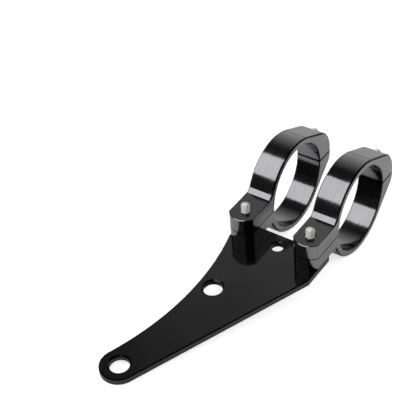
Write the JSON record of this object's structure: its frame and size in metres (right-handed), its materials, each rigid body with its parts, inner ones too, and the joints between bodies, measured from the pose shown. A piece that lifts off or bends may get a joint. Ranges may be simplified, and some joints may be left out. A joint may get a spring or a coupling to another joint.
{
  "type": "headlight mounting bracket",
  "caption": "Flat tapered arm plate held on a fork tube by split ring clamps, with chamfered bolt holes for a headlight's side mount.",
  "frame": {"origin": "centre of the outer clamp's bore, on the plane where the clamp's two halves meet", "axes": "+X along the fork tube from the inner clamp towards the outer one, +Y from the arm's tip towards the fork tube, +Z off the plate's face that carries the clamps"},
  "size_m": [0.061, 0.2004, 0.057],
  "materials": {
    "black_anodised": "gloss black anodised, machined",
    "plated_steel": "bright plated"
  },
  "bodies": {
    "root": {"arm_plate": "black_anodised", "outer_base": "black_anodised", "outer_cap": "black_anodised", "inner_base": "black_anodised", "inner_cap": "black_anodised", "ear_screws": "plated_steel", "lug_screws": "plated_steel"}
  },
  "joints": []
}
